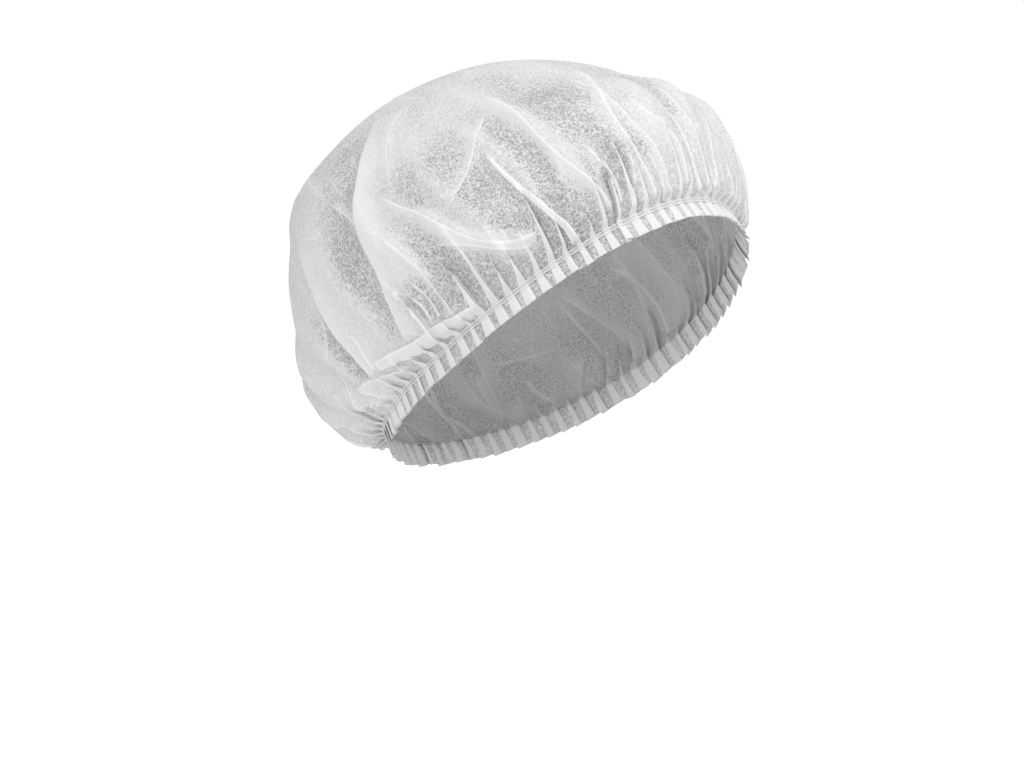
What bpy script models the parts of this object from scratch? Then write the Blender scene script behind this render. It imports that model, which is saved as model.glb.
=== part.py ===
# Disposable hair cover cap: one gathered sheet of nonwoven cloth, held in at the head by a sewn-on
# elastic band, with a free ruffle below the band. The origin is the centre of the head opening, at
# the height of the band. The wearer looks along -Y, and +Z is up.

from math import cos, pi, radians, sin

import bmesh
import bpy
import numpy as np

# Driving sizes, in metres and radians
HEAD_HALF_LENGTH = 0.104
HEAD_HALF_WIDTH = 0.084
CROWN_HEIGHT = 0.137
HEM_TILT = radians(36)
HEM_SADDLE = 0.004
CLOTH_WALL = 0.001
RUFFLE_LENGTH = 0.009
RUFFLE_FLARE = 0.0008
SCALLOP_DEPTH = 0.0008
ELASTIC_WIDTH = 0.002
ELASTIC_THICKNESS = 0.0008
SEAT_CLEARANCE = 0.0003
PLEAT_DEPTH = 0.0026
FOLD_HEIGHT = 0.005
FOLD_WIDTH = 0.009
BULGE_REACH = 0.02

# How far the wall reaches past the sheet's middle at a pleat's tip, as a share of its thickness
TIP_REACH = 0.6
# Steps round and along the crown between which its slope is read
SLOPE_TURN = radians(1)
SLOPE_CLIMB = 0.01

# The opening is egg-shaped, wider behind the ears, and each pleat leans to one side
EGG_SHARE = 0.06
PLEAT_COUNT = 80
PLEAT_LEAN = 0.22
GATHER_SPREAD = (0.45, 1.45)
SEED = 7

# Rows up the crown, from the band to the apex: how far along the cloth, the reach to the front,
# side and back as shares of the head's half length and half width, and the rise there as shares of
# the crown's height
PROFILE = [
    # along, front, side, back, front_rise, side_rise, back_rise
    (0.00, 1.000, 1.000, 1.000, 0.000, 0.000, 0.000),
    (0.05, 1.045, 1.045, 1.030, 0.030, 0.030, 0.025),
    (0.17, 1.135, 1.165, 1.105, 0.226, 0.182, 0.110),
    (0.31, 1.110, 1.235, 1.195, 0.416, 0.387, 0.245),
    (0.46, 0.910, 1.145, 1.160, 0.595, 0.584, 0.470),
    (0.60, 0.690, 1.005, 1.080, 0.770, 0.770, 0.720),
    (0.75, 0.390, 0.770, 0.870, 0.920, 0.925, 0.920),
    (0.88, 0.114, 0.388, 0.514, 0.985, 0.985, 0.985),
    (1.00, -0.133, 0.000, 0.133, 1.000, 1.000, 1.000),
]

# Depth of the pleats and of the wider gathers that they run together into, as shares of PLEAT_DEPTH
GATHERS = [
    # along, fine, middle, broad
    (0.00, 0.30, 0.00, 0.00),
    (0.02, 0.60, 0.00, 0.00),
    (0.06, 0.90, 0.20, 0.00),
    (0.12, 0.85, 0.60, 0.20),
    (0.18, 0.50, 0.85, 0.40),
    (0.25, 0.00, 0.90, 0.70),
    (0.34, 0.00, 0.55, 0.80),
    (0.44, 0.00, 0.25, 0.65),
    (0.58, 0.00, 0.00, 0.35),
    (0.75, 0.00, 0.00, 0.00),
]

# Main folds, each a ridge (or a dent, where the height is negative) over the cloth from one place
# to another. Angles are in degrees from the front, positive to the wearer's left, and the bow bends
# the ridge sideways at its middle. Heights and widths are shares of FOLD_HEIGHT and FOLD_WIDTH.
FOLDS = [
    # start_angle, start_along, end_angle, end_along, bow, height, width
    (-96, 0.10, -66, 0.75, -3, 1.00, 0.80),
    (-53, 0.08, -77, 0.40, -7, 1.00, 0.70),
    (-46, 0.02, -55, 0.32, 2, 0.70, 0.60),
    (-34, 0.02, -43, 0.47, -2, 0.80, 0.70),
    (-80, 0.05, -82, 0.32, 0, 0.60, 0.60),
    (-78, 0.05, -106, 0.12, 0, 0.90, 0.60),
    (-110, 0.10, -102, 0.50, -4, 0.80, 0.90),
    (-84, 0.38, -95, 0.62, 0, 0.50, 0.80),
    (-110, 0.03, -150, 0.30, 0, 0.90, 0.90),
    (-28, 0.05, -33, 0.24, 0, 0.50, 0.60),
    (-21, 0.05, -24, 0.28, 0, 0.60, 0.60),
    (-10, 0.05, -8, 0.32, 3, 0.60, 0.70),
    (-18, 0.20, -21, 0.55, 3, 0.50, 0.90),
    (22, 0.12, 18, 0.45, 0, 0.35, 1.20),
    (-112, 0.44, -155, 0.48, 0, -0.70, 0.90),
    (-140, 0.10, -128, 0.40, 4, 0.40, 0.90),
    (-168, 0.05, -160, 0.50, -4, 0.90, 1.00),
    (165, 0.05, 172, 0.42, 5, 0.80, 0.90),
    (142, 0.05, 128, 0.55, -5, 1.00, 0.90),
    (118, 0.05, 122, 0.36, 3, 0.80, 0.80),
    (100, 0.08, 84, 0.62, 5, 1.00, 0.80),
    (76, 0.04, 84, 0.34, -3, 0.80, 0.70),
    (56, 0.04, 50, 0.46, 4, 0.80, 0.80),
    (38, 0.03, 40, 0.28, -2, 0.60, 0.60),
    (6, 0.04, 5, 0.26, 0, 0.60, 0.60),
]
FOLD_SAMPLES = 17

# Broad bulges and hollows of the crown, with the reach of each as a share of BULGE_REACH and its
# height as a share of FOLD_HEIGHT
BULGES = [
    # angle, along, reach, height
    (-10, 0.70, 3.0, 0.40),
    (33, 0.19, 1.4, 0.48),
    (-122, 0.71, 1.5, -0.36),
    (-136, 0.60, 0.7, -0.60),
    (-146, 0.31, 1.2, 0.72),
    (-157, 0.21, 1.3, 1.00),
    (-157, 0.13, 1.0, 0.52),
    (165, 0.24, 1.7, 0.72),
]

# Rows of the mesh above the band, with how often the two columns a pleat are halved there; below
# it, rows of the ruffle from the cut edge up, as shares of its free length with the share of the
# pleat depth there
CROWN_ROWS = [
    # along, halvings
    (0.000, 0), (0.014, 0), (0.035, 0), (0.062, 0), (0.092, 0), (0.124, 0), (0.158, 0), (0.194, 0),
    (0.230, 1), (0.268, 1), (0.308, 1), (0.350, 1), (0.394, 1), (0.440, 1), (0.490, 1),
    (0.545, 2), (0.605, 2), (0.670, 2), (0.740, 2),
    (0.815, 3), (0.890, 3), (0.955, 3),
]
RUFFLE_ROWS = [
    # drop, depth
    (1.00, 0.72), (0.50, 0.55), (0.00, 0.30),
]


def smooth_row(table, along):
    # Reads a table between its rows, smoothly, by its first column
    table = np.array(table)
    places = table[:, 0]
    slopes = np.gradient(table[:, 1:], places, axis=0)
    index = np.clip(np.searchsorted(places, along, side="right") - 1, 0, len(places) - 2)
    step = places[index + 1] - places[index]
    share = (along - places[index]) / step
    start, end = table[index, 1:], table[index + 1, 1:]
    start_weight = 2 * share**3 - 3 * share**2 + 1
    start_slope = (share**3 - 2 * share**2 + share) * step
    end_slope = (share**3 - share**2) * step
    return (start * start_weight + end * (1 - start_weight)
            + slopes[index] * start_slope + slopes[index + 1] * end_slope)


def groove_half():
    # Half the height of the flat groove that the elastic band lies in
    return ELASTIC_WIDTH / 2 + SEAT_CLEARANCE + CLOTH_WALL / 2


def tilted(side, forward, up):
    # Takes a place in the plane of the head opening into the cap's own frame
    return np.array([side, -forward * cos(HEM_TILT) + up * sin(HEM_TILT),
                     forward * sin(HEM_TILT) + up * cos(HEM_TILT)])


def oval(angle, front, side, back):
    # Sideways and forward reach of an egg-shaped ring at an angle from its front
    sideways = side * sin(angle) * (1 - EGG_SHARE * cos(angle))
    forward = (front - back) / 2 + (front + back) / 2 * cos(angle)
    return sideways, forward


def saddle(angle):
    return HEM_SADDLE * cos(2 * angle)


def crown_point(angle, along):
    # The smooth crown, without pleats or folds
    front, side, back, front_rise, side_rise, back_rise = smooth_row(PROFILE, along)
    sideways, forward = oval(angle, front * HEAD_HALF_LENGTH, side * HEAD_HALF_WIDTH,
                             back * HEAD_HALF_LENGTH)
    middle = (front_rise + back_rise) / 2
    rise = ((middle + side_rise) / 2 + (front_rise - back_rise) / 2 * cos(angle)
            + (middle - side_rise) / 2 * cos(2 * angle))
    height = groove_half() + CROWN_HEIGHT * rise + (1 - along) ** 2 * saddle(angle)
    return tilted(sideways, forward, height)


def band_point(angle, height, outward):
    # A place round the band, at a height over its middle line and a distance out from it
    sideways, forward = oval(angle, HEAD_HALF_LENGTH + outward, HEAD_HALF_WIDTH + outward,
                             HEAD_HALF_LENGTH + outward)
    return tilted(sideways, forward, saddle(angle) + height)


def band_outward(angle):
    return unit(band_point(angle, 0, CLOTH_WALL) - band_point(angle, 0, 0))


def unit(vector):
    return vector / np.linalg.norm(vector)


def crown_outward(angle, along):
    # Straight out of the band at the groove, and square to the smooth crown a little above it
    low, high = max(along - SLOPE_CLIMB, 0), min(along + SLOPE_CLIMB, 1)
    around = crown_point(angle + SLOPE_TURN, along) - crown_point(angle - SLOPE_TURN, along)
    upward = crown_point(angle, high) - crown_point(angle, low)
    square = unit(np.cross(around, upward))
    blend = min(along / PROFILE[1][0], 1)
    return unit(band_outward(angle) * (1 - blend) + square * blend)


def wave(angle, weights):
    # A zigzag round the cap between -1 and 1, one tooth for each weight
    count = len(weights)
    place = (angle / (2 * pi) * count) % count
    weight = np.interp(place, range(count + 1), list(weights) + [weights[0]])
    return weight * (1 - 4 * abs(place % 1 - 0.5))


def gather_weights():
    random = np.random.default_rng(SEED)
    return [random.uniform(*GATHER_SPREAD, PLEAT_COUNT // share) for share in (2, 4)]


def gather_height(angle, along, weights):
    fine, middle, broad = smooth_row(GATHERS, min(along, GATHERS[-1][0]))
    return PLEAT_DEPTH * (max(fine, 0) * wave(angle, [1] * PLEAT_COUNT)
                          + max(middle, 0) * wave(angle, weights[0])
                          + max(broad, 0) * wave(angle, weights[1]))


def fold_paths():
    # Each fold as a row of places on the smooth crown, with its height tapering to both ends
    paths = []
    for start_angle, start_along, end_angle, end_along, bow, height, width in FOLDS:
        shares = np.linspace(0, 1, FOLD_SAMPLES)
        bend = bow * 4 * shares * (1 - shares)
        angles = np.radians(start_angle + (end_angle - start_angle) * shares + bend)
        places = start_along + (end_along - start_along) * shares
        points = np.array([crown_point(angle, along) for angle, along in zip(angles, places)])
        heights = height * FOLD_HEIGHT * np.sqrt(np.sin(pi * shares))
        paths.append((points, heights, width * FOLD_WIDTH))
    return paths


def fold_height(point, paths):
    total = 0
    for points, heights, width in paths:
        distances = np.linalg.norm(points - point, axis=1)
        near = distances.argmin()
        total += heights[near] * np.exp(-(distances[near] / width) ** 2)
    return total


def bulge_height(point, bulges):
    return sum(height * np.exp(-(np.linalg.norm(point - centre) / reach) ** 2)
               for centre, reach, height in bulges)


def column_angle(column, columns, lean):
    return 2 * pi * (column + lean * (column % 2)) / columns


def ruffle_rings(bm):
    rings = []
    columns = 2 * PLEAT_COUNT
    free_length = RUFFLE_LENGTH - groove_half()
    for drop, depth in RUFFLE_ROWS:
        ring = []
        for column in range(columns):
            angle = column_angle(column, columns, PLEAT_LEAN)
            out = wave(angle, [1] * PLEAT_COUNT)
            below = groove_half() + drop * (free_length + SCALLOP_DEPTH / 2 * out)
            point = band_point(angle, -below, RUFFLE_FLARE * drop)
            ring.append(bm.verts.new(point + band_outward(angle) * out * depth * PLEAT_DEPTH))
        rings.append(ring)
    return rings


def crown_rings(bm):
    rings = []
    paths = fold_paths()
    weights = gather_weights()
    bulges = [(crown_point(radians(angle), along), reach * BULGE_REACH, height * FOLD_HEIGHT)
              for angle, along, reach, height in BULGES]
    for along, halvings in CROWN_ROWS:
        columns = 2 * PLEAT_COUNT // 2**halvings
        lean = 0 if halvings else PLEAT_LEAN
        ring = []
        for column in range(columns):
            angle = column_angle(column, columns, lean)
            point = crown_point(angle, along)
            height = gather_height(angle, along, weights)
            if along > 0:
                height += fold_height(point, paths) + bulge_height(point, bulges)
            ring.append(bm.verts.new(point + crown_outward(angle, along) * height))
        rings.append(ring)
    return rings


def join_rings(bm, lower, upper):
    # Faces between two rings, where the upper one has as many points as the lower or half
    count = len(upper)
    step = len(lower) // count
    for column in range(count):
        near, far = upper[column], upper[(column + 1) % count]
        first = lower[column * step]
        last = lower[(column + 1) * step % len(lower)]
        if step == 1:
            bm.faces.new((first, last, far, near))
        else:
            middle = lower[column * step + 1]
            bm.faces.new((first, middle, near))
            bm.faces.new((middle, last, far))
            bm.faces.new((middle, far, near))


def plain_material(name, colour, roughness):
    material = bpy.data.materials.new(name)
    material.use_nodes = True
    surface = material.node_tree.nodes["Principled BSDF"]
    surface.inputs["Base Color"].default_value = (*colour, 1)
    surface.inputs["Roughness"].default_value = roughness
    surface.inputs["Metallic"].default_value = 0
    return material


def finish_mesh(bm, name, material):
    bmesh.ops.recalc_face_normals(bm, faces=bm.faces)
    mesh = bpy.data.meshes.new(name)
    bm.to_mesh(mesh)
    bm.free()
    mesh.materials.append(material)
    piece = bpy.data.objects.new(name, mesh)
    bpy.context.scene.collection.objects.link(piece)
    return piece


def build_cloth():
    # The sheet is modelled at the middle of its wall and thickened to both sides
    bm = bmesh.new()
    rings = ruffle_rings(bm) + crown_rings(bm)
    for lower, upper in zip(rings, rings[1:]):
        join_rings(bm, lower, upper)
    apex = bm.verts.new(crown_point(0, 1))
    top = rings[-1]
    for near, far in zip(top, top[1:] + top[:1]):
        bm.faces.new((near, far, apex))
    cloth = finish_mesh(bm, "cap_cloth", plain_material("nonwoven", (0.88, 0.88, 0.88), 0.85))
    wall = cloth.modifiers.new("wall", "SOLIDIFY")
    wall.thickness = CLOTH_WALL
    wall.offset = 0
    wall.use_even_offset = True
    return cloth


def build_elastic():
    # A flat strip round the outer tips of the pleats, at the bottom of the groove
    bm = bmesh.new()
    inner = PLEAT_DEPTH * RUFFLE_ROWS[-1][1] + CLOTH_WALL * TIP_REACH + SEAT_CLEARANCE
    outer = inner + ELASTIC_THICKNESS
    half = ELASTIC_WIDTH / 2
    corners = [(-half, inner), (-half, outer), (half, outer), (half, inner)]
    sections = []
    for pleat in range(PLEAT_COUNT):
        angle = column_angle(2 * pleat + 1, 2 * PLEAT_COUNT, PLEAT_LEAN)
        sections.append([bm.verts.new(band_point(angle, height, 0) + band_outward(angle) * out)
                         for height, out in corners])
    for near, far in zip(sections, sections[1:] + sections[:1]):
        for side in range(len(corners)):
            other = (side + 1) % len(corners)
            bm.faces.new((near[side], near[other], far[other], far[side]))
    return finish_mesh(bm, "elastic_band", plain_material("elastic", (0.93, 0.93, 0.93), 0.6))


def main():
    for leftover in list(bpy.data.objects):
        bpy.data.objects.remove(leftover)
    build_cloth()
    build_elastic()


main()
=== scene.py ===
from math import cos, pi, radians, sin

import bpy
import numpy as np
from mathutils import Matrix, Vector


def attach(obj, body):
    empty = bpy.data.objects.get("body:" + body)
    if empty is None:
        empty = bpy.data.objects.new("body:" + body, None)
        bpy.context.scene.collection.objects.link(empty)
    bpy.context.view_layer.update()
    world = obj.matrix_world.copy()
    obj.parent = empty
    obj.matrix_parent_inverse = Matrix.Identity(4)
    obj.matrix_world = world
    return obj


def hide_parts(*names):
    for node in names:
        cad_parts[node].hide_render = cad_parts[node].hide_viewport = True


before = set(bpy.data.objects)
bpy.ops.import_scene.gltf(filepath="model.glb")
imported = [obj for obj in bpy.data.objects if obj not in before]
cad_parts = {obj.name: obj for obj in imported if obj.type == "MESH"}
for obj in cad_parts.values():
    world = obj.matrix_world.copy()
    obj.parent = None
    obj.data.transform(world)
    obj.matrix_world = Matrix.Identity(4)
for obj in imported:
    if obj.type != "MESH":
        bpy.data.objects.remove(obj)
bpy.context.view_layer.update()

# The worn form, the same as the solids have: lengths in metres, angles in degrees
wornForm = {
    "headHalfLength": 0.104,
    "headHalfWidth": 0.084,
    "crownHeight": 0.137,
    "hemTilt": 36,
    "saddle": 0.004,
    "eggShare": 0.06,
    "grooveHalf": 0.0018,
    "meridian": 0.222,        # length of the cloth from the groove to the apex
    "slopeStep": 0.01,        # steps up and round between which the crown's slope is read
    "slopeTurn": 0.02,
    "outStep": 0.001,         # step out of the band by which its outward direction is read
}
capMiddle = np.array([0, 0.03, 0.02])

# along, front, side, back, front rise, side rise, back rise, as shares of the sizes above
crownRows = np.array([
    (0.00, 1.000, 1.000, 1.000, 0.000, 0.000, 0.000),
    (0.05, 1.045, 1.045, 1.030, 0.030, 0.030, 0.025),
    (0.17, 1.135, 1.165, 1.105, 0.226, 0.182, 0.110),
    (0.31, 1.110, 1.235, 1.195, 0.416, 0.387, 0.245),
    (0.46, 0.910, 1.145, 1.160, 0.595, 0.584, 0.470),
    (0.60, 0.690, 1.005, 1.080, 0.770, 0.770, 0.720),
    (0.75, 0.390, 0.770, 0.870, 0.920, 0.925, 0.920),
    (0.88, 0.114, 0.388, 0.514, 0.985, 0.985, 0.985),
    (1.00, -0.133, 0.000, 0.133, 1.000, 1.000, 1.000),
])

# Main folds of the cloth, each along places given as degrees from the front and share of the way
# up. An edge fold has one crisp edge, with the doubled cloth on the right of it as seen from
# outside; a strip is crisp on both sides.
mainFolds = [
    # kind, height, width at the start, width at the end (millimetres), white, places
    ("edge", 4.4, 13, 11, 0.85, ((-97.5, 0.09), (-95.5, 0.143), (-93, 0.198), (-90, 0.253), (-87.5, 0.323),
                                 (-85.5, 0.38), (-82.5, 0.44), (-76, 0.525), (-69.5, 0.6), (-61.5, 0.698))),
    ("edge", 1.2, 7, 7, 0.55, ((-53.5, 0.633), (-61.5, 0.575), (-67, 0.522), (-70.5, 0.463), (-73.5, 0.393),
                               (-74.5, 0.335))),
    ("edge", 4.0, 5, 6, 1.00, ((-77.5, 0.405), (-75.5, 0.328), (-73, 0.275), (-71, 0.22), (-68, 0.163),
                               (-63, 0.125), (-58.5, 0.107), (-54, 0.1))),
    ("edge", 1.6, 6, 6, 0.95, ((-56.5, 0.077), (-62, 0.1), (-68, 0.138), (-73.5, 0.182), (-79, 0.217))),
    ("strip", 3.0, 1.5, 3.6, 0.95, ((-53, 0.307), (-53.5, 0.258), (-53, 0.208), (-51.5, 0.158), (-49, 0.11),
                                    (-47, 0.072), (-45.8, 0.0))),
    ("edge", 3.4, 7, 5, 0.90, ((-39, 0.5), (-40.5, 0.385), (-41.5, 0.26), (-39.5, 0.175), (-35, 0.105),
                               (-33.5, 0.05))),
    ("edge", 1.8, 8, 9, 0.60, ((-43.5, 0.435), (-52, 0.345), (-59, 0.283), (-66.5, 0.247), (-72.5, 0.247))),
    ("edge", 3.0, 5, 6, 0.80, ((-83, 0.3), (-82.5, 0.242), (-82, 0.198), (-82, 0.138), (-82, 0.062))),
    ("strip", 1.0, 0.9, 1.4, 0.70, ((-86, 0.182), (-85.5, 0.133), (-86, 0.08))),
    ("strip", 1.4, 1.0, 1.5, 0.75, ((-91.5, 0.198), (-89, 0.163), (-88, 0.125), (-88.5, 0.083))),
    ("strip", 4.6, 4.6, 9.0, 1.00, ((-110.5, 0.113), (-104, 0.095), (-98.5, 0.074), (-93.5, 0.062),
                                    (-88, 0.053), (-83.5, 0.035), (-77, 0.012))),
    ("edge", 2.6, 8, 8, 0.85, ((-121, 0.128), (-117, 0.112), (-112, 0.092), (-108, 0.072), (-102, 0.045))),
    ("edge", 2.2, 8, 5, 0.80, ((-115.5, 0.0), (-118.5, 0.045), (-120, 0.085), (-121, 0.125))),
    ("edge", 4.4, 13, 14, 0.75, ((-113.5, 0.098), (-112.5, 0.155), (-111.5, 0.225), (-109.5, 0.29),
                                 (-107.5, 0.372), (-107.5, 0.453), (-106.5, 0.515), (-101.5, 0.56))),
    ("strip", 1.6, 1.2, 1.6, 0.70, ((-110.5, 0.23), (-108.5, 0.198), (-110, 0.152), (-111, 0.105))),
    ("edge", 2.4, 7, 10, 0.65, ((-115, 0.0), (-122.5, 0.05), (-131.5, 0.107), (-139.5, 0.175), (-142, 0.25),
                                (-144, 0.32))),
    ("edge", 1.2, 6, 8, 0.40, ((-133, 0.0), (-139, 0.04), (-144, 0.095), (-148.5, 0.185), (-153, 0.275))),
    ("strip", 1.2, 1.2, 1.6, 0.50, ((-124, 0.19), (-129, 0.158), (-131, 0.118), (-130, 0.08))),
    ("edge", 2.0, 4, 5, 0.55, ((-86.5, 0.36), (-88, 0.438), (-91, 0.515))),
    ("edge", 1.4, 5, 5, 0.45, ((-100, 0.698), (-92.5, 0.578), (-90.5, 0.508))),
    ("edge", 2.4, 4, 4, 0.70, ((-9, 0.505), (-18.5, 0.35), (-22, 0.242), (-21.5, 0.168), (-20.5, 0.115),
                               (-19.5, 0.07), (-19, 0.02))),
    ("edge", 1.8, 4, 4, 0.50, ((-17, 0.465), (-19.5, 0.385), (-19, 0.285), (-17.5, 0.195), (-15, 0.133),
                               (-13.5, 0.077), (-13, 0.02))),
    ("strip", 1.4, 1.4, 2.0, 0.45, ((-8.5, 0.297), (-5.5, 0.235), (-3, 0.188), (-2, 0.122), (-1.5, 0.062),
                                    (0, 0.01))),
    ("strip", 1.4, 1.2, 1.8, 0.45, ((6, 0.205), (6.5, 0.155), (6.5, 0.105), (7, 0.055), (8, 0.01))),
    ("strip", 1.4, 1.2, 1.8, 0.45, ((14.5, 0.175), (16, 0.12), (17.5, 0.07), (19.5, 0.01))),
    ("strip", 1.2, 1.0, 1.6, 0.45, ((-18, 0.14), (-17, 0.105), (-16, 0.06), (-15.5, 0.01))),
    ("edge", 2.2, 4, 4, 0.60, ((-15, 0.288), (-11.5, 0.208), (-7, 0.145), (-6.5, 0.11), (-6.5, 0.048))),
    ("strip", 1.8, 1.4, 1.8, 0.60, ((0.5, 0.328), (1, 0.225), (2.5, 0.163), (2, 0.113), (3.5, 0.04))),
    ("strip", 1.6, 1.2, 1.6, 0.55, ((13, 0.242), (12, 0.195), (10, 0.14), (9, 0.095), (7, 0.035))),
    ("strip", 1.8, 1.0, 1.6, 0.65, ((-34, 0.203), (-32, 0.152), (-30.5, 0.113), (-30.5, 0.06))),
    ("strip", 1.6, 1.0, 1.4, 0.65, ((-24.5, 0.15), (-24.5, 0.113), (-26, 0.072), (-28, 0.033))),
]

# Broad bulges and hollows of the crown: degrees from the front, share of the way up, reach and height
# in millimetres
billows = [
    (-10, 0.70, 60, 2.0), (13, 0.48, 16, 0.8), (33, 0.19, 28, 2.0), (-122, 0.71, 30, -1.8),
    (-92, 0.76, 26, -2.6), (18, 0.41, 20, -2.6), (-138, 0.54, 28, -3.2), (-164, 0.12, 10, -1.6),
    (-122, 0.585, 12, -1.6), (-150, 0.615, 14, -3.6),
    (-136, 0.60, 15, -4.0), (-139.5, 0.555, 8, 1.0), (-141, 0.51, 11, -3.4), (-142, 0.45, 12, -0.4),
    (-146, 0.31, 22, 2.6), (-149, 0.29, 6, -1.2), (-157, 0.21, 26, 4.4), (-157, 0.13, 20, 2.6),
    (-162, 0.10, 8, -2.5), (165, 0.24, 34, 3.6), (-45, 0.22, 26, 1.2), (-76, 0.13, 14, -1.2),
]

# Where the cloth looks thin, or dense where the last number is below nought: degrees, share of the way
# up, reach in millimetres, strength
thinZones = [
    (-77, 0.13, 15, 1.3), (-82, 0.11, 9, 0.8), (-57, 0.15, 13, 0.9), (-50, 0.16, 10, 0.6),
    (-45, 0.09, 12, 0.8), (-93, 0.43, 13, 0.8), (-92, 0.32, 12, 1.1), (-93, 0.24, 10, 1.1),
    (-97, 0.16, 9, 1.1), (-90, 0.15, 8, 1.1), (-85, 0.13, 7, 0.8), (-114, 0.25, 9, 1.0),
    (-117, 0.16, 8, 1.1), (-81, 0.57, 12, 0.5), (-84, 0.47, 10, 0.7), (-62, 0.25, 16, 0.9),
    (-71, 0.37, 9, 0.9), (-73, 0.30, 7, 0.9), (-60, 0.35, 14, 0.6), (-45, 0.25, 13, 0.7),
    (-36, 0.32, 14, 0.6), (-26, 0.38, 18, 0.7), (-50, 0.05, 12, 0.7), (-24, 0.14, 8, 0.8),
    (-19, 0.16, 7, 0.6), (-34, 0.11, 9, 0.6), (-29, 0.20, 9, 0.4), (3, 0.12, 8, 0.3),
    (-39, 0.44, 14, 0.4), (-82, 0.37, 9, -0.8), (-72, 0.50, 10, -0.6), (-108, 0.36, 13, -0.8),
    (-86, 0.23, 9, -0.8), (-73, 0.24, 9, -0.6), (-105, 0.18, 12, -0.9), (-130, 0.28, 26, -1.1),
    (-138, 0.14, 24, -1.1), (-112, 0.50, 16, -0.6), (-33, 0.19, 7, -0.5), (-68, 0.20, 7, -0.5),
    (20, 0.18, 28, -0.7), (-10, 0.18, 11, -0.4), (4, 0.24, 22, -0.5), (-56, 0.30, 7, -0.7),
    (-32, 0.45, 20, -0.7), (-78, 0.54, 14, 0.5), (150, 0.25, 26, 1.0), (110, 0.30, 28, 0.9),
    (75, 0.15, 20, 1.0), (-162, 0.45, 26, 0.7), (48, 0.30, 20, 0.8), (180, 0.12, 20, 1.0),
    (125, 0.10, 16, 0.9), (90, 0.50, 24, 0.7), (30, 0.50, 26, 0.7),
]

cloth = {
    "pleats": 80,
    "pointsPerPleat": 12,
    "ruffleLength": 0.0072,   # from the groove's lower edge to the cut edge
    "ruffleFlare": 0.0008,
    "scallop": 0.0012,
    "ruffleRows": 0.0009,     # steps between rows of points, in the ruffle and at most in the crown
    "crownRows": 0.00155,
    "rowGrowth": 0.03,
    "apexGap": 0.004,
    "overlaps": (  # how far a pleat folds back over itself, at heights over the band
        (-0.009, 3.3), (-0.003, 3.0), (0.0, 2.9), (0.004, 2.85), (0.012, 2.7), (0.08, 2.2),
    ),
    "pleatDepth": 0.0013,
    "depths": (  # shares of the pleat depth, at heights over the band
        (-0.009, 0.8), (-0.004, 0.62), (0.0, 0.42), (0.004, 0.75), (0.012, 1.25), (0.03, 1.7), (0.08, 1.4),
    ),
    "fadeLow": 0.016,         # pleats run out between these heights over the band
    "fadeHigh": 0.052,
    "leans": ((0.6, 5, 0), (0.4, 11, 1), (0.3, 17, 4)),  # size, how many round and shift of each sway
    "leanHeight": 0.12,
    "gathers": (  # how many round, where each starts, peaks and ends, and its depth
        (40, 0.008, 0.030, 0.080, 0.0012),
        (23, 0.018, 0.055, 0.125, 0.0016),
        (13, 0.030, 0.090, 0.175, 0.0016),
    ),
    "restFolds": 30,          # folds on the sides that the photo doesn't show, and where they start
    "restFrom": 24,
    "restOver": 186,
    "crinkles": 70,
    "crinkleGap": 0.008,
    "zoneLift": 2.2,          # millimetres of lift that a thin zone of strength 1 counts for
    "flatDiameter": 0.47,
    "panelPlaces": (  # how thin the cloth looks between the pleats, at degrees from the front
        (-180, 0.5), (-125, 0.4), (-100, 0.6), (-75, 1.0), (-35, 1.0), (-15, 0.55), (5, 0.35),
        (30, 0.3), (60, 0.6), (180, 0.5),
    ),
    "thinning": ((0.046, 1), (0.150, 2), (0.186, 4), (0.206, 8), (1, 16)),
    "seed": 11,
}

# How much the pleats differ from each other
pleatSpread = {
    "place": (-0.16, 0.16),
    "fold": (0.80, 1.18),
    "depth": (0.75, 1.25),
    "usualSide": 0.86,        # share of the pleats that fold to the same side
    "drop": (-0.0005, 0.0005),
    "notch": (0.22, 0.34),
}


def readSmooth(places, values, wanted):
    # Smooth reading of a table between its rows, one result for each place asked for
    slopes = np.gradient(values, places, axis=0)
    index = np.clip(np.searchsorted(places, wanted, side="right") - 1, 0, len(places) - 2)
    step = (places[index + 1] - places[index])[..., None]
    share = (wanted - places[index])[..., None] / step
    rise = share * share * (3 - 2 * share)
    return (values[index] * (1 - rise) + values[index + 1] * rise
            + slopes[index] * (share**3 - 2 * share**2 + share) * step
            + slopes[index + 1] * (share**3 - share**2) * step)


def readStraight(table, place):
    # Straight reading of a table of places and values
    places, values = zip(*table)
    return np.interp(place, places, values)


def tiltPoint(side, forward, up):
    turn = radians(wornForm["hemTilt"])
    return np.stack([side, -forward * cos(turn) + up * sin(turn),
                     forward * sin(turn) + up * cos(turn)], -1)


def ovalReach(angle, front, side, back):
    sideways = side * np.sin(angle) * (1 - wornForm["eggShare"] * np.cos(angle))
    return sideways, (front - back) / 2 + (front + back) / 2 * np.cos(angle)


def saddleRise(angle):
    return wornForm["saddle"] * np.cos(2 * angle)


def crownPoint(angle, along):
    front, side, back, frontRise, sideRise, backRise = np.moveaxis(
        readSmooth(crownRows[:, 0], crownRows[:, 1:], along), -1, 0)
    sideways, forward = ovalReach(angle, front * wornForm["headHalfLength"],
                                  side * wornForm["headHalfWidth"],
                                  back * wornForm["headHalfLength"])
    middle = (frontRise + backRise) / 2
    rise = ((middle + sideRise) / 2 + (frontRise - backRise) / 2 * np.cos(angle)
            + (middle - sideRise) / 2 * np.cos(2 * angle))
    height = (wornForm["grooveHalf"] + wornForm["crownHeight"] * rise
              + (1 - along) ** 2 * saddleRise(angle))
    return tiltPoint(sideways, forward, height)


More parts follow.
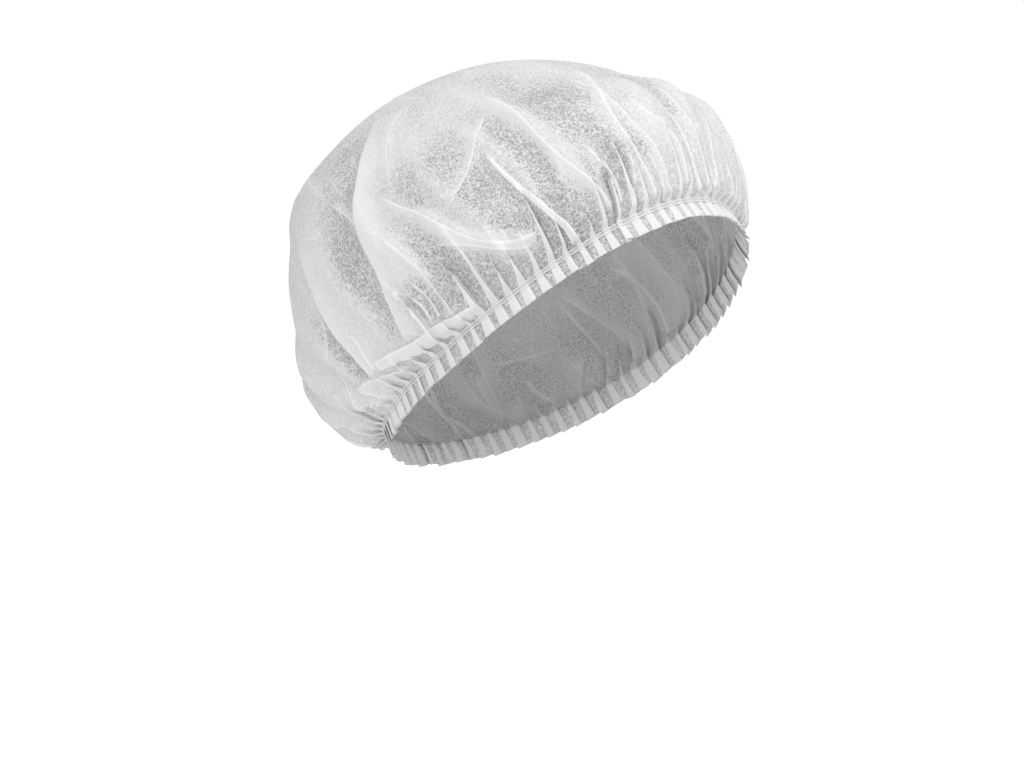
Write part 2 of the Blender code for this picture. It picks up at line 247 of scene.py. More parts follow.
def bandPoint(angle, height, outward=0.0):
    sideways, forward = ovalReach(angle, wornForm["headHalfLength"] + outward,
                                  wornForm["headHalfWidth"] + outward,
                                  wornForm["headHalfLength"] + outward)
    return tiltPoint(sideways, forward, saddleRise(angle) + height)


def unit(vectors):
    return vectors / np.linalg.norm(vectors, axis=-1, keepdims=True)


def bandOutward(angle):
    return unit(bandPoint(angle, 0, wornForm["outStep"]) - bandPoint(angle, 0))


def sheetPoint(angle, height):
    # The smooth sheet at a height along the cloth over the band, negative in the ruffle
    half = wornForm["grooveHalf"]
    along = np.clip((height - half) / wornForm["meridian"], 0, 1)
    drop = np.clip(-(height + half) / cloth["ruffleLength"], 0, 1.2)
    low = bandPoint(angle, np.minimum(height, half), cloth["ruffleFlare"] * drop)
    return np.where((height > half)[..., None], crownPoint(angle, along), low)


def sheetOutward(angle, height):
    along = np.clip((height - wornForm["grooveHalf"]) / wornForm["meridian"], 0, 1)
    step, turn = wornForm["slopeStep"], wornForm["slopeTurn"]
    low, high = np.clip(along - step, 0, 1), np.clip(along + step, 0, 1)
    around = crownPoint(angle + turn, along) - crownPoint(angle - turn, along)
    square = unit(np.cross(around, crownPoint(angle, high) - crownPoint(angle, low)))
    blend = np.clip(along / crownRows[1, 0], 0, 1)[..., None]
    return unit(bandOutward(angle) * (1 - blend) + square * blend)


def easeStep(start, end, value):
    share = np.clip((value - start) / (end - start), 0, 1)
    return share * share * (3 - 2 * share)


def rowHeights():
    # Heights of the mesh rows along the cloth and the number of columns in each
    top = wornForm["grooveHalf"] + wornForm["meridian"]
    low = -wornForm["grooveHalf"] - cloth["ruffleLength"]
    columns = cloth["pleats"] * cloth["pointsPerPleat"]
    shortStep = cloth["ruffleRows"]
    rows = [(low + step, columns) for step in np.arange(0, -low - 0.1 * shortStep, shortStep)]
    height = 0.0
    while height < top - cloth["apexGap"]:
        share = next(share for limit, share in cloth["thinning"] if height < limit)
        rows.append((height, columns // share))
        height += min(shortStep + cloth["rowGrowth"] * height, cloth["crownRows"])
    return rows


def pleatSettings():
    random = np.random.default_rng(cloth["seed"])
    count = cloth["pleats"]
    return {
        "centre": (np.arange(count) + random.uniform(*pleatSpread["place"], count)) * 2 * pi / count,
        "fold": random.uniform(*pleatSpread["fold"], count),
        "depth": random.uniform(*pleatSpread["depth"], count),
        "side": np.where(random.random(count) < pleatSpread["usualSide"], 1.0, -1.0),
        "fade": cloth["fadeLow"] + (cloth["fadeHigh"] - cloth["fadeLow"]) * random.random(count) ** 1.6,
        "drop": random.uniform(*pleatSpread["drop"], count),
        "notch": random.uniform(*pleatSpread["notch"], count),
    }


# Place across a pleat for points that lie clear of any doubled cloth
farAcross = 4.0


def pleatRow(height, columns, pleats):
    # Angle, outward depth and place across the doubled band for each column of one row
    count = cloth["pleats"]
    place = np.arange(columns) * count / columns
    index = np.floor(place + 0.5).astype(int) % count
    phase = (place + 0.5) % 1 - 0.5
    centre = pleats["centre"]
    before = (np.roll(centre, 1) - np.where(np.arange(count) == 0, 2 * pi, 0) + centre) / 2
    after = (np.roll(centre, -1) + np.where(np.arange(count) == count - 1, 2 * pi, 0) + centre) / 2
    width = (after - before)[index]
    fade = pleats["fade"][index]
    above = max(height, 0)
    strength = np.clip(1 - above / (1.35 * fade), 0, 1) ** 0.7
    fold = readStraight(cloth["overlaps"], height) * pleats["fold"][index] * strength
    depth = readStraight(cloth["depths"], height)
    depth = depth * pleats["depth"][index] * (1 - easeStep(0.5, 1.3, above / fade))
    angle = before[index] + width * (phase + 0.5) - width * fold / (2 * pi) * np.sin(2 * pi * phase)
    lean = sum(size * np.sin(sways * angle + shift) for size, sways, shift in cloth["leans"])
    angle = angle + 0.6 * above * lean * (1 - easeStep(0.3, 1.0, above / cloth["leanHeight"]))
    outward = -cloth["pleatDepth"] * depth * pleats["side"][index] * np.sin(2 * pi * phase)
    turning = np.arccos(1 / np.maximum(fold, 1.0001)) / (2 * pi)
    half = np.maximum(fold / (2 * pi) * np.sin(2 * pi * turning) - turning, 0)
    across = (phase - fold / (2 * pi) * np.sin(2 * pi * phase)) / np.maximum(half, 0.02)
    return angle, outward, np.where(half > 0.02, np.minimum(np.abs(across), farAcross), farAcross)


def rowLevel(height, columns, pleats):
    # Heights of the points of one row: the ruffle's cut edge is scalloped and a little uneven
    level = np.full(columns, height)
    if height >= -wornForm["grooveHalf"]:
        return level
    place = np.arange(columns) * cloth["pleats"] / columns + 0.5
    index = np.floor(place).astype(int) % cloth["pleats"]
    share = (-wornForm["grooveHalf"] - height) / cloth["ruffleLength"]
    curve = np.abs(np.sin(pi * (place % 1 - 0.5 - pleats["notch"][index]))) ** 0.6
    return level - share * (pleats["drop"][index] + cloth["scallop"] * (curve - 0.6))


def gatherDepth(angle, height):
    # Wider gathers that the pleats run into, uneven round the cap
    random = np.random.default_rng(cloth["seed"] + 1)
    total = np.zeros_like(angle)
    for count, low, peak, high, size in cloth["gathers"]:
        weights = random.uniform(0.1, 1.5, count)
        shifts = random.uniform(0, 2 * pi, 3)
        bend = (angle + 0.06 * np.sin(3 * angle + shifts[0]) + 0.03 * np.sin(7 * angle + shifts[2])
                + 1.1 * (height - peak) * np.sin(5 * angle + shifts[1]))
        place = (bend / (2 * pi) * count) % count
        weight = np.interp(place, np.arange(count + 1), np.append(weights, weights[0]))
        crest = 1 - 2 * np.abs(np.sin(pi * (place % 1 - 0.5)))
        ends = np.clip((height - low) / (peak - low), 0, 1) * np.clip((high - height) / (high - peak), 0, 1)
        total = total + size * weight * ends * ends * (3 - 2 * ends) * crest
    return total


def zoneSum(points, zones):
    # The sum of soft round zones on the crown, each as strong as its last number
    total = np.zeros(len(points))
    for angle, along, reach, strength in zones:
        centre = crownPoint(np.radians(float(angle)), np.array(along))
        total += strength * np.exp(-(((points - centre) ** 2).sum(-1)) / (reach / 1000) ** 2)
    return total


foldShape = {
    "bandEnd": 0.13,          # a fold whose end lies lower runs on into the band
    "fades": (0.14, 0.38),    # shares of a fold's length over which its start and end fade
    "fadeAtBand": 0.04,
    "relief": 0.6,            # share of a fold's height by which the sheet rises
    "crispReach": 0.0022,     # how far the sheet slopes down on the crisp side
    "softSide": 0.7,          # share of its width over which an edge fold slopes down
    "stripSide": 0.6,         # and a strip, with the slope beside it
    "stripSlope": 0.0012,
    "reach": 0.006,           # how far a fold is felt past three of its widths
    "claim": 0.004,           # how far past its width it wins over its neighbours
    "farEdge": 6.0,           # millimetres from a fold's edge past which the place isn't kept
}


def foldTrack(kind, height, startWidth, endWidth, white, places):
    places = np.array(places, dtype=float)
    order = np.arange(len(places))
    along = readSmooth(order, places, np.linspace(0, order[-1], 10 * order[-1] + 1))
    points = crownPoint(np.radians(along[:, 0]), np.clip(along[:, 1], 0, 1))
    lengths = np.append(0, np.linalg.norm(np.diff(points, axis=0), axis=1).cumsum())
    share = lengths / lengths[-1]
    width = (startWidth + (endWidth - startWidth) * share) / 1000
    fades = [fade if places[end, 1] > foldShape["bandEnd"] else foldShape["fadeAtBand"]
             for end, fade in zip((0, -1), foldShape["fades"])]
    return {"kind": kind, "height": height / 1000, "width": width, "white": white, "fades": fades,
            "points": points, "share": share, "length": lengths[-1]}


def guessedFolds(random):
    # Folds on the sides that the photo doesn't show
    tracks = []
    count = cloth["restFolds"]
    for index in range(count):
        start = cloth["restFrom"] + cloth["restOver"] * (index + random.uniform(0.2, 0.8)) / count
        top = random.uniform(0.2, 0.62)
        turn, bow = random.uniform(-12, 12, 2)
        places = [(start + turn * share + bow * share * (1 - share), 0.04 + (top - 0.04) * share)
                  for share in (0, 0.33, 0.67, 1)]
        if random.random() < 0.5:
            places.reverse()
        kind = "edge" if random.random() < 0.6 else "strip"
        width = random.uniform(5, 11) if kind == "edge" else random.uniform(1.5, 3)
        height, white = random.uniform(1.8, 4.2), random.uniform(0.6, 0.9)
        tracks.append(foldTrack(kind, height, width, width, white, places))
    return tracks


def crinkleTracks(random, foldPoints):
    # Small crinkles, wherever the folds leave room for one
    tracks = []
    for crinkle in range(cloth["crinkles"]):
        start, along = random.uniform(-180, 180), random.uniform(0.15, 0.9)
        turn, rise, bow = random.uniform(-26, 26), random.uniform(-0.16, 0.16), random.uniform(-7, 7)
        height, width, white = random.uniform(0.3, 1.0), random.uniform(1.0, 5.0), random.uniform(0.25, 0.5)
        places = [(start + turn * share + bow * share * (1 - share),
                   np.clip(along + rise * share, 0.08, 0.97)) for share in (0, 0.5, 1)]
        track = foldTrack("edge" if width > 2 else "strip", height, width, width, white, places)
        middle = track["points"][len(track["points"]) // 2]
        if np.linalg.norm(foldPoints - middle, axis=1).min() > cloth["crinkleGap"]:
            tracks.append(track)
    return tracks


def foldTracks():
    random = np.random.default_rng(cloth["seed"] + 2)
    tracks = [foldTrack(*fold) for fold in mainFolds] + guessedFolds(random)
    return tracks + crinkleTracks(random, np.concatenate([track["points"] for track in tracks]))


def closestGap(track, other):
    apart = other["points"][:, None, :] - track["points"][None, ::4, :]
    return np.linalg.norm(apart, axis=-1).min()


def foldGroups(tracks):
    # Shares the folds out over three groups, so that folds close to each other are kept apart
    members = [[], [], []]
    for index, track in enumerate(tracks):
        gaps = [min((closestGap(track, tracks[other]) for other in group), default=1) for group in members]
        members[int(np.argmax(gaps))].append(index)
    return members


def foldFields(points, tracks):
    # Height added by the folds, and for each group the place across the doubled cloth in
    # millimetres and its strength
    relief, farEdge = np.zeros(len(points)), foldShape["farEdge"]
    edges, fades = np.full((len(points), 3), -farEdge), np.zeros((len(points), 3))
    for group, members in enumerate(foldGroups(tracks)):
        best = np.zeros(len(points))
        for track in [tracks[index] for index in members]:
            line, reach = track["points"], 3 * track["width"].max() + foldShape["reach"]
            near = np.flatnonzero(((points > line.min(0) - reach) & (points < line.max(0) + reach)).all(1))
            if not len(near):
                continue
            closest = np.linalg.norm(points[near, None] - line[None], axis=-1).argmin(1)
            ahead = unit(line[np.minimum(closest + 1, len(line) - 1)] - line[np.maximum(closest - 1, 0)])
            apart = points[near] - line[closest]
            sideways = (unit(np.cross(ahead, points[near] - capMiddle)) * apart).sum(-1)
            share = track["share"][closest] + (ahead * apart).sum(-1) / track["length"]
            startFade, endFade = track["fades"]
            taper = easeStep(0.0, startFade, share) * (1 - easeStep(1 - endFade, 1.0, share))
            width = track["width"][closest]
            if track["kind"] == "edge":
                inside = np.maximum(sideways, 0)
                shape = np.where(sideways > 0, np.exp(-(inside / (foldShape["softSide"] * width)) ** 1.5),
                                 np.exp(-(sideways / foldShape["crispReach"]) ** 2))
                edge = sideways
                fade = np.exp(-(inside / width) ** 1.5)
            else:
                spread = foldShape["stripSide"] * width + foldShape["stripSlope"]
                shape = np.exp(-(sideways / spread) ** 2)
                edge = width / 2 - np.abs(sideways)
                fade = np.ones(len(near))
            relief[near] += foldShape["relief"] * track["height"] * taper * shape
            weight = taper * np.exp(-(sideways / (width + foldShape["claim"])) ** 2)
            chosen = weight > best[near]
            best[near] = np.maximum(best[near], weight)
            edge = np.clip(edge * 1000, -farEdge, farEdge)
            edges[near, group] = np.where(chosen, edge, edges[near, group])
            fades[near, group] = np.where(chosen, track["white"] * taper * fade, fades[near, group])
    return relief, edges, fades


def sheetFaces(rows, starts):
    faces = []
    for row in range(len(rows) - 1):
        low, high = starts[row], starts[row + 1]
        lowCount, highCount = rows[row][1], rows[row + 1][1]
        step = lowCount // highCount
        for column in range(highCount):
            nextUp = high + (column + 1) % highCount
            first = low + column * step
            last = low + (column + 1) * step % lowCount
            if step == 1:
                faces.append((first, last, nextUp, high + column))
            else:
                faces.append((first, first + 1, high + column))
                faces.append((first + 1, last, nextUp, high + column))
    apex = starts[-1] + rows[-1][1]
    for column in range(rows[-1][1]):
        faces.append((starts[-1] + column, starts[-1] + (column + 1) % rows[-1][1], apex))
    return faces


def addLayer(mesh, name, values):
    # Keeps a number or three numbers for each point of the mesh
    kind, entry = ("FLOAT", "value") if values.ndim == 1 else ("FLOAT_VECTOR", "vector")
    layer = mesh.attributes.new(name, kind, "POINT")
    layer.data.foreach_set(entry, values.astype(np.float32).ravel())


def buildSheet():
    rows = rowHeights()
    pleats = pleatSettings()
    pleated = [pleatRow(height, columns, pleats) for height, columns in rows]
    angle, depth, across = (np.concatenate(part) for part in zip(*pleated))
    level = np.concatenate([rowLevel(height, columns, pleats) for height, columns in rows])
    height = np.concatenate([np.full(columns, height) for height, columns in rows])
    starts = np.append(0, np.cumsum([columns for height, columns in rows]))[:-1].tolist()

    flat, out = sheetPoint(angle, level), sheetOutward(angle, level)
    relief, edges, fades = foldFields(flat, foldTracks())
    fades = fades * easeStep(0.001, 0.006, height)[:, None]
    clear = easeStep(0.003, 0.014, height)
    lift = gatherDepth(angle, level) + relief * clear
    points = flat + out * (depth + lift + zoneSum(flat, billows) / 1000 * clear)[:, None]
    points = np.vstack([points, crownPoint(np.array(0.0), np.array(1.0))])
    faces = sheetFaces(rows, starts)
    mesh = bpy.data.meshes.new("capSheet")
    mesh.from_pydata([tuple(point) for point in points], [], faces)

    panel = readStraight(cloth["panelPlaces"], (np.degrees(angle) + 180) % 360 - 180)
    panel = panel * (1 - easeStep(0.012, 0.040, np.abs(height)))
    addLayer(mesh, "bandPlace", np.append(across, farAcross))
    addLayer(mesh, "panel", np.append(panel, 0))
    addLayer(mesh, "lift", np.append(lift * 1000 - cloth["zoneLift"] * zoneSum(flat, thinZones), 0))
    addLayer(mesh, "foldEdges", np.vstack([edges, edges[-1]]))
    addLayer(mesh, "foldFades", np.vstack([fades, fades[-1]]))
    piece = bpy.data.objects.new("capSheet", mesh)
    bpy.context.scene.collection.objects.link(piece)
    mesh.shade_smooth()
    area = sum(face.area for face in mesh.polygons)
    print("sheet", len(points), "points", len(faces), "faces, area", round(area, 4))
    return piece


# Shader helpers

def addNode(tree, kind, **settings):
    node = tree.nodes.new(kind)
    for name, value in settings.items():
        if name == "inputs":
            for socket, entry in value.items():
                node.inputs[socket].default_value = entry
        else:
            setattr(node, name, value)
    return node


def mathNode(tree, operation, first, second=None, third=None, clamp=False):
    node = tree.nodes.new("ShaderNodeMath")
    node.operation = operation
    node.use_clamp = clamp
    for slot, value in enumerate((first, second, third)):
        if value is None:
            continue
        if isinstance(value, (int, float)):
            node.inputs[slot].default_value = value
        else:
            tree.links.new(value, node.inputs[slot])
    return node.outputs[0]


def oneMinus(tree, value):
    return mathNode(tree, "SUBTRACT", 1.0, value)


def distanceFrom(tree, value, middle):
    return mathNode(tree, "ABSOLUTE", mathNode(tree, "SUBTRACT", value, middle))


def rampMask(tree, value, low, high):
    node = tree.nodes.new("ShaderNodeMapRange")
    node.interpolation_type = "SMOOTHSTEP"
    node.inputs["From Min"].default_value = low
    node.inputs["From Max"].default_value = high
    tree.links.new(value, node.inputs["Value"])
    return node.outputs["Result"]


def vectorNode(tree, operation, first, second):
    node = addNode(tree, "ShaderNodeVectorMath", operation=operation)
    tree.links.new(first, node.inputs[0])
    if isinstance(second, tuple):
        node.inputs[1].default_value = second
    elif operation == "SCALE":
        tree.links.new(second, node.inputs["Scale"])
    else:
        tree.links.new(second, node.inputs[1])
    return node.outputs[0]


def noiseField(tree, place, scale, detail=0.0):
    node = addNode(tree, "ShaderNodeTexNoise", inputs={"Detail": detail, "Roughness": 0.6})
    tree.links.new(place, node.inputs["Vector"])
    tree.links.new(scale, node.inputs["Scale"])
    return node


def contourLines(tree, place, scale, offset, halfWidth):
    # Thin wandering lines, where a smooth noise passes its middle value
    field = noiseField(tree, vectorNode(tree, "ADD", place, (offset, offset, offset)), scale)
    gap = distanceFrom(tree, field.outputs["Fac"], 0.5)
    return oneMinus(tree, rampMask(tree, gap, halfWidth * 0.4, halfWidth))


def fibreWebGroup():
    # Fine curled fibres laid at random with small openings between them, and denser patches
    group = bpy.data.node_groups.new("fibreWeb", "ShaderNodeTree")
    face = group.interface
    face.new_socket("Vector", in_out="INPUT", socket_type="NodeSocketVector")
    for name, value in (("Strand Scale", 740.0), ("Patch Scale", 30.0), ("Curl", 0.0014)):
        socket = face.new_socket(name, in_out="INPUT", socket_type="NodeSocketFloat")
        socket.default_value = value
    for name in ("Specks", "Fibres", "Patches"):
        face.new_socket(name, in_out="OUTPUT", socket_type="NodeSocketFloat")
    start = group.nodes.new("NodeGroupInput")
    end = group.nodes.new("NodeGroupOutput")
    link = group.links.new
    place, strandScale = start.outputs["Vector"], start.outputs["Strand Scale"]

    curlScale = mathNode(group, "MULTIPLY", strandScale, 0.6)
    curl = noiseField(group, place, curlScale, 1.0)
    centred = vectorNode(group, "SUBTRACT", curl.outputs["Color"], (0.5, 0.5, 0.5))
    curled = vectorNode(group, "ADD", place, vectorNode(group, "SCALE", centred, start.outputs["Curl"]))

    specks = None
    for offset, factor in ((0.0, 1.0), (3.7, 1.25), (8.1, 0.8)):
        scale = mathNode(group, "MULTIPLY", strandScale, factor)
        lines = contourLines(group, curled, scale, offset, 0.085)
        broken = noiseField(group, vectorNode(group, "ADD", place, (offset + 1, offset, offset)),
                            mathNode(group, "MULTIPLY", scale, 1.3))
        dashes = mathNode(group, "MULTIPLY", lines, rampMask(group, broken.outputs["Fac"], 0.42, 0.56))
        specks = dashes if specks is None else mathNode(group, "MAXIMUM", specks, dashes)
    fibres = None
    for offset, factor in ((5.3, 0.5), (11.9, 0.85)):
        scale = mathNode(group, "MULTIPLY", strandScale, factor)
        lines = contourLines(group, curled, scale, offset, 0.05)
        fibres = lines if fibres is None else mathNode(group, "MAXIMUM", fibres, lines)
    link(mathNode(group, "MULTIPLY", specks, mathNode(group, "MULTIPLY_ADD", fibres, -0.8, 1.0)),
         end.inputs["Specks"])
    link(fibres, end.inputs["Fibres"])

    patchNoise = noiseField(group, place, start.outputs["Patch Scale"], 4.0)
    link(rampMask(group, patchNoise.outputs["Fac"], 0.34, 0.64), end.inputs["Patches"])
    return group


nonwovenLook = {
    "thin": (0.36, 0.36, 0.365, 1),
    "full": (0.87, 0.87, 0.875, 1),
    "edge": (0.97, 0.97, 0.975, 1),
    "roughness": 0.8,
    "specular": 0.2,
    "specks": 1.15,           # strength of the openings between the fibres, in sparse cloth
    "leastSpecks": 0.11,      # and in dense cloth
    "sheer": 0.44,            # how thin sparse cloth looks
    "single": 0.17,           # how thin dense cloth looks
    "panels": 0.34,           # how much thinner the cloth looks between the pleats
    "paintedEdgeShade": 0.10,           # painted shade along the crisp edge of a fold, darkening the cloth there
    "fibres": 0.6,            # how much a fibre covers
    "pleatLayers": 0.95,      # how much doubled cloth covers, in pleats and in folds
    "foldLayers": 0.88,
    "pleatLines": 0.5,        # brightness of the creases
    "foldLines": 0.8,
    "seeThrough": 0.08,
    "bump": 0.0004,
    "fibreBump": 0.12,        # height of a fibre beside that of a layer of cloth
}


def attributeValue(tree, name, output="Fac"):
    return addNode(tree, "ShaderNodeAttribute", attribute_name=name).outputs[output]


def foldMasks(tree):
    # For each group of folds its doubled cloth, its crease and a thin strip of painted shade beside the
    # crease
    edges = tree.nodes.new("ShaderNodeSeparateXYZ")
    fades = tree.nodes.new("ShaderNodeSeparateXYZ")
    tree.links.new(attributeValue(tree, "foldEdges", "Vector"), edges.inputs[0])
    tree.links.new(attributeValue(tree, "foldFades", "Vector"), fades.inputs[0])
    for edge, fade in zip(edges.outputs, fades.outputs):
        inside = rampMask(tree, edge, -0.15, 0.3)
        crease = oneMinus(tree, rampMask(tree, distanceFrom(tree, edge, 0.4), 0.1, 0.7))
        # painted shade: a thin darker strip on the crisp side, just outside the crease
        paintedEdgeShade = mathNode(tree, "MULTIPLY", rampMask(tree, edge, -2.4, -0.2),
                          oneMinus(tree, rampMask(tree, edge, -0.2, 0.1)))
        yield [mathNode(tree, "MULTIPLY", mask, fade) for mask in (inside, crease, paintedEdgeShade)]


def nonwovenMaterial(web):
    material = bpy.data.materials.new("nonwovenCloth")
    material.use_nodes = True
    tree = material.node_tree
    surface = tree.nodes["Principled BSDF"]
    surface.inputs["Roughness"].default_value = nonwovenLook["roughness"]
    surface.inputs["Specular IOR Level"].default_value = nonwovenLook["specular"]
    place = tree.nodes.new("ShaderNodeTexCoord")
    fibres = tree.nodes.new("ShaderNodeGroup")
    fibres.node_tree = web
    tree.links.new(place.outputs["Object"], fibres.inputs["Vector"])

    # Doubled cloth of the pleats and folds, its creases and the painted shade beside them
    bandPlace = attributeValue(tree, "bandPlace")
    step = oneMinus(tree, rampMask(tree, bandPlace, 0.92, 1.12))
    layers = mathNode(tree, "MULTIPLY", step, nonwovenLook["pleatLayers"])
    pleatCrease = oneMinus(tree, rampMask(tree, distanceFrom(tree, bandPlace, 0.9), 0.02, 0.22))
    lines = mathNode(tree, "MULTIPLY", pleatCrease, nonwovenLook["pleatLines"])
    shade = 0.0
    for inside, crease, paintedEdgeShade in foldMasks(tree):
        layers = mathNode(tree, "MAXIMUM", layers, inside)
        step = mathNode(tree, "ADD", step, inside)
        lines = mathNode(tree, "MAXIMUM", lines, crease)
        shade = mathNode(tree, "MAXIMUM", shade, paintedEdgeShade)

    # How thin the cloth looks, from hollows, patches and openings between the fibres
    hollow = oneMinus(tree, rampMask(tree, attributeValue(tree, "lift"), -3.6, 1.4))
    sparse = mathNode(tree, "MULTIPLY", mathNode(tree, "MULTIPLY_ADD", hollow, 0.9, 0.1),
                      mathNode(tree, "MULTIPLY_ADD", fibres.outputs["Patches"], 0.55, 0.45))
    specks = mathNode(tree, "MULTIPLY_ADD", sparse, nonwovenLook["specks"], nonwovenLook["leastSpecks"])
    specks = mathNode(tree, "MULTIPLY", fibres.outputs["Specks"], specks)
    base = mathNode(tree, "MULTIPLY_ADD", sparse, nonwovenLook["sheer"], nonwovenLook["single"])
    base = mathNode(tree, "MULTIPLY_ADD", attributeValue(tree, "panel"), nonwovenLook["panels"], base)
    # painted shade darkens the colour along the crisp edges of folds
    base = mathNode(tree, "MULTIPLY_ADD", shade, nonwovenLook["paintedEdgeShade"], base)
    uncovered = mathNode(tree, "MULTIPLY_ADD", fibres.outputs["Fibres"], -nonwovenLook["fibres"], 1.0)
    base = mathNode(tree, "MULTIPLY", base, uncovered)
    thin = mathNode(tree, "ADD", base, specks)
    single = mathNode(tree, "MULTIPLY_ADD", layers, -nonwovenLook["foldLayers"], 1.0)
    thin = mathNode(tree, "MULTIPLY", thin, single, clamp=True)

    colour = addNode(tree, "ShaderNodeMix", data_type="RGBA")
    tree.links.new(thin, colour.inputs["Factor"])
    colour.inputs["A"].default_value = nonwovenLook["full"]
    colour.inputs["B"].default_value = nonwovenLook["thin"]
    bright = addNode(tree, "ShaderNodeMix", data_type="RGBA")
    tree.links.new(mathNode(tree, "MULTIPLY", lines, nonwovenLook["foldLines"]), bright.inputs["Factor"])
    tree.links.new(colour.outputs["Result"], bright.inputs["A"])
    bright.inputs["B"].default_value = nonwovenLook["edge"]
    tree.links.new(bright.outputs["Result"], surface.inputs["Base Color"])
    alpha = mathNode(tree, "MULTIPLY_ADD", thin, -nonwovenLook["seeThrough"], 1.0)
    tree.links.new(alpha, surface.inputs["Alpha"])

    height = mathNode(tree, "MULTIPLY_ADD", fibres.outputs["Fibres"], nonwovenLook["fibreBump"], step)
    bump = addNode(tree, "ShaderNodeBump", inputs={"Strength": 0.5, "Distance": nonwovenLook["bump"]})
    tree.links.new(height, bump.inputs["Height"])
    tree.links.new(bump.outputs["Normal"], surface.inputs["Normal"])
    return material


band = {
    "width": 0.0018,
    "thickness": 0.0002,
    "outward": 0.0006,
    "points": 480,
    "colour": (0.90, 0.90, 0.90),
    "roughness": 0.5,
    "sheer": 0.12,            # how much the elastic covers, between its fibres and by them
    "fibreSheer": 0.25,
    "ripple": 0.00008,
    "length": 0.59,           # round the head, for the number of stitches
    "threadRadius": 0.00021,
    "threadPoints": 1400,
    "threadSides": 6,
    "threadSink": 0.0001,     # how deep the thread is drawn into the strip
    "threadRise": 0.00018,    # how far it rises between its needle holes
    "threadRoughness": 0.6,
    "stitchLength": 0.0026,
}


def plainMaterial(name, colour, roughness):
    material = bpy.data.materials.new(name)
    material.use_nodes = True
    surface = material.node_tree.nodes["Principled BSDF"]
    surface.inputs["Base Color"].default_value = (*colour, 1)
    surface.inputs["Roughness"].default_value = roughness
    return material


def stripMaterial(web):
    # Thin clear elastic that the gathers show through, a little uneven along its length
    material = plainMaterial("elasticWeb", band["colour"], band["roughness"])
    tree = material.node_tree
    place = tree.nodes.new("ShaderNodeTexCoord")
    fibres = tree.nodes.new("ShaderNodeGroup")
    fibres.node_tree = web
    tree.links.new(place.outputs["Object"], fibres.inputs["Vector"])
    sheer = mathNode(tree, "MULTIPLY_ADD", fibres.outputs["Fibres"], band["fibreSheer"], band["sheer"])
    tree.links.new(sheer, tree.nodes["Principled BSDF"].inputs["Alpha"])
    return material


def sweepRing(name, angles, heights, outs, corners):
    # A closed ring with a section of the given corners, each a height and a distance out
    points, faces = [], []
    count, sides = len(angles), len(corners)
    outward = bandOutward(angles)
    for up, out in corners:
        points.append(bandPoint(angles, heights + up) + outward * (outs + out)[:, None])
    points = np.array(points).transpose(1, 0, 2).reshape(-1, 3)
    for step in range(count):
        after = (step + 1) % count
        for side in range(sides):
            other = (side + 1) % sides
            faces.append((step * sides + side, step * sides + other,
                          after * sides + other, after * sides + side))
    mesh = bpy.data.meshes.new(name)
    mesh.from_pydata([tuple(point) for point in points], [], faces)
    mesh.shade_smooth()
    piece = bpy.data.objects.new(name, mesh)
    bpy.context.scene.collection.objects.link(piece)
    return piece


def buildBand():
    angles = np.linspace(0, 2 * pi, band["points"], endpoint=False)
    ripple = band["ripple"] * np.sin(angles * cloth["pleats"])
    half, thick = band["width"] / 2, band["thickness"]
    bevel = thick * 0.3
    corners = [(-half, 0), (-half, thick - bevel), (-half + bevel, thick), (half - bevel, thick),
               (half, thick - bevel), (half, 0)]
    return sweepRing("elasticStrip", angles, 0 * angles, band["outward"] + ripple, corners)


def buildThread(name, height):
    angles = np.linspace(0, 2 * pi, band["threadPoints"], endpoint=False)
    stitches = round(band["length"] / band["stitchLength"])
    rise = band["threadRise"] * np.abs(np.sin(angles * stitches / 2)) ** 0.5
    radius = band["threadRadius"]
    turns = np.linspace(0, 2 * pi, band["threadSides"], endpoint=False)
    corners = [(radius * cos(turn), radius * sin(turn)) for turn in turns]
    outs = band["outward"] + band["thickness"] - band["threadSink"] + rise
    return sweepRing(name, angles, np.full(len(angles), height), outs, corners)


floorLook = {"height": -0.19, "size": 30.0, "colour": (0.9, 0.9, 0.9), "roughness": 0.8, "glow": 0.5}


def buildFloor():
    bpy.ops.object.select_all(action="DESELECT")
    bpy.ops.mesh.primitive_plane_add(size=floorLook["size"], location=(0, 0, floorLook["height"]))
    floor = bpy.context.active_object
    floor.name = "floor"
    pale = plainMaterial("paleFloor", floorLook["colour"], floorLook["roughness"])
    tree = pale.node_tree
    surface = tree.nodes["Principled BSDF"]
    surface.inputs["Emission Color"].default_value = (1, 1, 1, 1)
    seen = tree.nodes.new("ShaderNodeLightPath").outputs["Is Camera Ray"]
    glow = mathNode(tree, "MULTIPLY", seen, floorLook["glow"])
    tree.links.new(glow, surface.inputs["Emission Strength"])
    floor.data.materials.append(pale)
    return floor


# Lights: degrees from the front, degrees up, distance, size and power
lights = {
    "keyLight": (-8, 54, 1.6, 0.8, 8.6),
    "frontLight": (-66, 16, 1.8, 1.0, 4.2),
    "fillLight": (-100, 30, 1.8, 1.2, 0.3),
}

# Brightness of the room as light, and as seen behind the cap
room = {"around": 0.70, "behind": 1.0}

shot = {"turn": -48, "rise": 3, "distance": 1.6, "pixelsPerMetre": 2100,
        "target": (-0.0195, 0.0163, -0.0213), "imageWidth": 1024, "sensor": 36, "clipStart": 0.05}


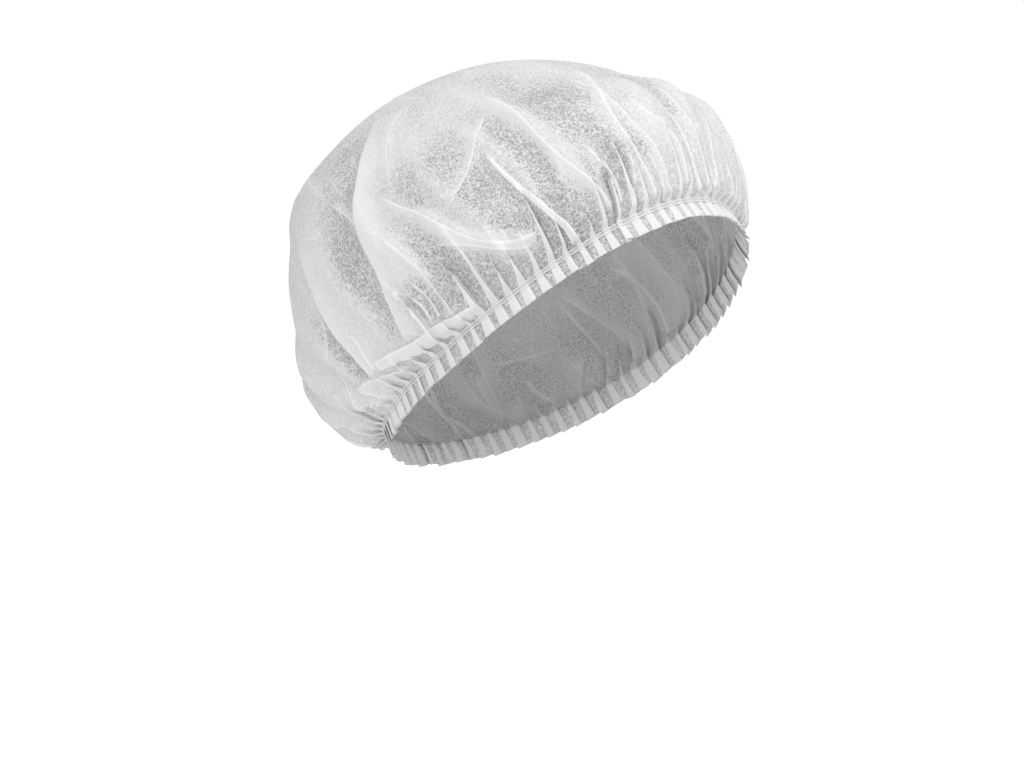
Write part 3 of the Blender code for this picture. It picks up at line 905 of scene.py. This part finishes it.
def addLight(name, turn, rise, distance, size, power):
    spin = Matrix.Rotation(radians(turn), 3, "Z")
    offset = spin @ Vector((0, -cos(radians(rise)), sin(radians(rise)))) * distance
    bpy.ops.object.light_add(type="AREA", location=offset)
    lamp = bpy.context.active_object
    lamp.name = name
    lamp.data.shape = "SQUARE"
    lamp.data.size = size
    lamp.data.energy = power
    lamp.rotation_euler = (-offset).to_track_quat("-Z", "Y").to_euler()
    return lamp


def buildStudio():
    world = bpy.data.worlds.new("studio")
    bpy.context.scene.world = world
    world.use_nodes = True
    tree = world.node_tree
    background = tree.nodes["Background"]
    background.inputs["Color"].default_value = (1, 1, 1, 1)
    seen = tree.nodes.new("ShaderNodeLightPath").outputs["Is Camera Ray"]
    strength = mathNode(tree, "MULTIPLY_ADD", seen, room["behind"] - room["around"], room["around"])
    tree.links.new(strength, background.inputs["Strength"])
    for name, settings in lights.items():
        addLight(name, *settings)
    bpy.context.scene.view_settings.view_transform = "Standard"


def buildCamera():
    turn, rise = radians(shot["turn"]), radians(shot["rise"])
    back = Vector((sin(turn) * cos(rise), -cos(turn) * cos(rise), sin(rise)))
    right = Vector((cos(turn), sin(turn), 0))
    up = back.cross(right)
    camera = bpy.data.cameras.new("photoCamera")
    camera.sensor_width = shot["sensor"]
    camera.lens = shot["pixelsPerMetre"] * shot["distance"] / shot["imageWidth"] * shot["sensor"]
    holder = bpy.data.objects.new("photoCamera", camera)
    bpy.context.scene.collection.objects.link(holder)
    frameAxes = Matrix((right, up, back)).transposed().to_4x4()
    frameAxes.translation = Vector(shot["target"]) + back * shot["distance"]
    holder.matrix_world = frameAxes
    camera.clip_start = shot["clipStart"]
    bpy.context.scene.camera = holder


web = fibreWebGroup()
sheet = buildSheet()
sheet.data.materials.append(nonwovenMaterial(web))
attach(sheet, "root")
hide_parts("cap_cloth")

strip = buildBand()
strip.data.materials.append(stripMaterial(web))
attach(strip, "root")
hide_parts("elastic_band")
for name, height in (("lowerStitching", -band["width"] / 2), ("upperStitching", band["width"] / 2)):
    thread = buildThread(name, height)
    thread.data.materials.append(plainMaterial(name + "Thread", band["colour"], band["threadRoughness"]))
    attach(thread, "root")

buildFloor()
buildStudio()
buildCamera()
print("scene ready")
